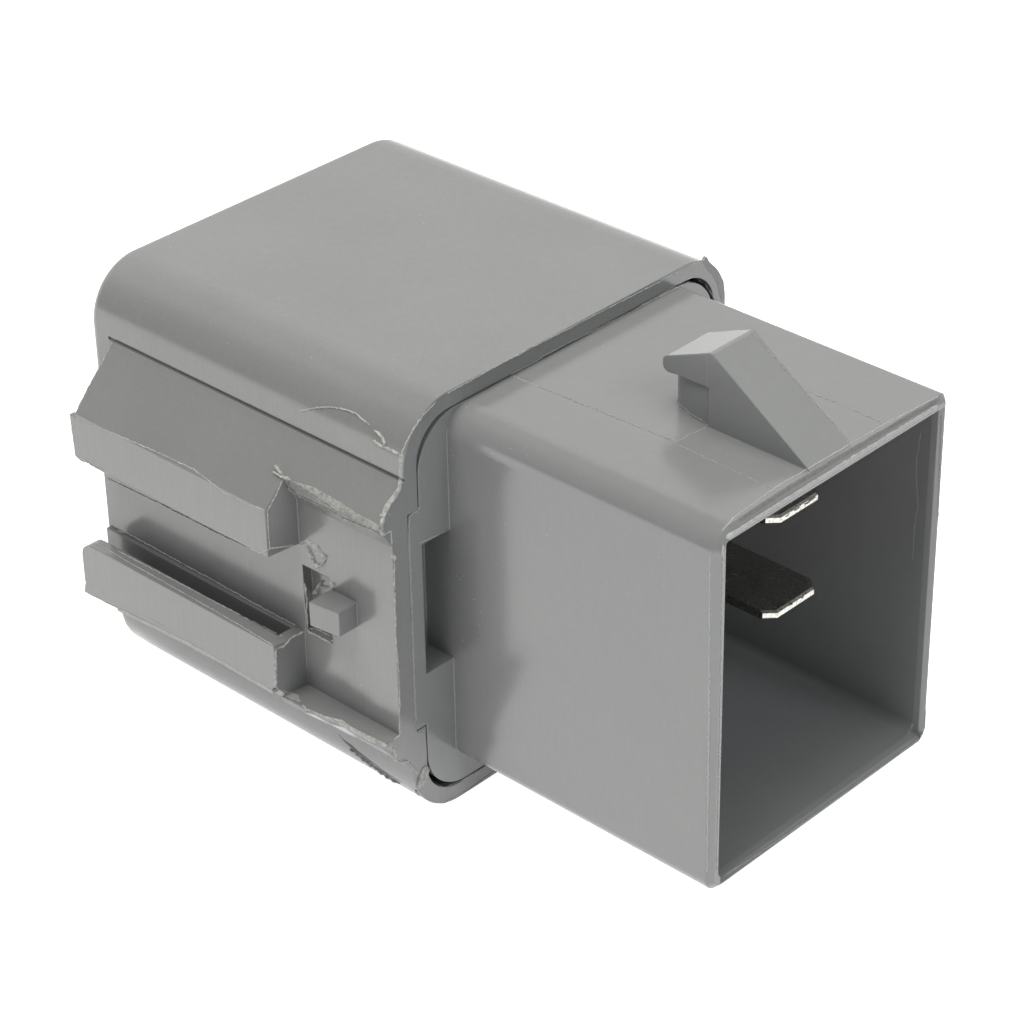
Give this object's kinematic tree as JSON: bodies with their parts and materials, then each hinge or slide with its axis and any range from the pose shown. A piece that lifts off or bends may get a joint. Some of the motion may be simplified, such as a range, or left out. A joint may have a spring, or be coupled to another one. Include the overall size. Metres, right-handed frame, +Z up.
{
  "type": "automotive relay",
  "caption": "Grey plug-in automotive relay: square cover with a bracket slot and torn mould flash, long open connector shroud with a latch ramp, blade terminals and a hinged armature inside.",
  "frame": {"origin": "middle of the cover's underside, 18 mm behind the cover's rim and in line with the connector's middle", "axes": "+X along the connector, out of its mouth; +Y away from the bracket slot; +Z up through the latch side"},
  "size_m": [0.066, 0.0443, 0.0448],
  "materials": {
    "cover_plastic": "satin moulded grey plastic",
    "header_plastic": "satin moulded grey plastic",
    "tinned_brass": "tin-plated brass strip",
    "plated_steel": "zinc-plated soft steel",
    "bobbin_plastic": "black moulded plastic",
    "enamelled_wire": "enamelled copper wire",
    "yellow_tape": "polyester tape",
    "resistor_body": "lacquered resistor",
    "bronze": "phosphor bronze leaf",
    "silver": "silver alloy contact",
    "spring_steel": "drawn spring wire"
  },
  "bodies": {
    "housing": {"cover_case": "cover_plastic", "base_header": "header_plastic", "terminal_common": "tinned_brass", "terminal_load": "tinned_brass", "terminal_coil_a": "tinned_brass", "terminal_coil_b": "tinned_brass", "yoke_frame": "plated_steel", "core_pin": "plated_steel", "coil_bobbin": "bobbin_plastic", "coil_winding": "enamelled_wire", "winding_tape": "yellow_tape", "coil_lead_a": "enamelled_wire", "coil_lead_b": "enamelled_wire", "suppression_resistor": "resistor_body", "back_stop": "plated_steel", "fixed_contact": "silver", "return_spring": "spring_steel"},
    "armature": {"armature_plate": "plated_steel", "contact_leaf": "bronze", "leaf_rivets": "plated_steel", "moving_contact": "silver"}
  },
  "joints": [
    {"name": "armature_hinge", "type": "hinge", "parent": "housing", "child": "armature", "pos_m": [-0.0123, 0.013, 0.01735], "axis": [0, 0, 1], "range_deg": [0, 3], "stiffness_Nm_per_rad": 0.02}
  ]
}
